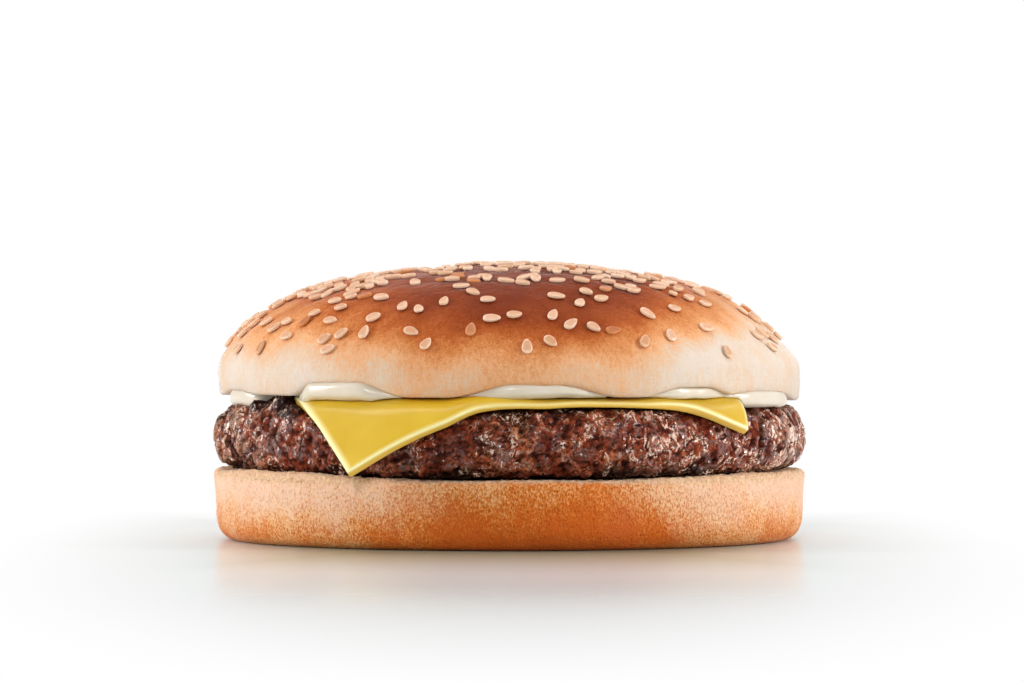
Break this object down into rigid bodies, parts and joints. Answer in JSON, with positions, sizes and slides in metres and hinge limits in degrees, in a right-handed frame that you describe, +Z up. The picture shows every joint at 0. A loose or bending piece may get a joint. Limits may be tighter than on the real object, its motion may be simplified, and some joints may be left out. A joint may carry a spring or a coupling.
{
  "type": "cheeseburger",
  "caption": "Cheeseburger: a sesame-seeded bun cut in two round a grilled beef patty, a draped slice of cheese and a spread of mayonnaise.",
  "frame": {"origin": "on the surface that the burger stands on, under the middle of its bounding box; the axis of the bun stands 1.5 mm behind it, because a corner of cheese juts out at the front", "axes": "+Z up; -Y is the front, where the longest corner of the cheese hangs; +X is to the right as seen from the front"},
  "size_m": [0.11, 0.113, 0.051],
  "materials": {
    "heel_crust": "dry golden bread crust, fine pores, pale crumb at the cut edge",
    "grilled_meat": "craggy seared minced beef, dark char and wet fat highlights",
    "cheese": "smooth yellow processed cheese, softly glossy, paler at its cut edges",
    "mayonnaise": "smooth wet cream-white sauce",
    "crown_crust": "satin baked crust, brown at the top, golden on the shoulders and cream at the rim",
    "sesame": "pale cream hulled seeds, slightly toasted at their edges"
  },
  "bodies": {
    "root": {"bun_bottom": "heel_crust", "patty": "grilled_meat", "cheese_slice": "cheese", "mayonnaise": "mayonnaise", "bun_top": "crown_crust"}
  },
  "joints": []
}
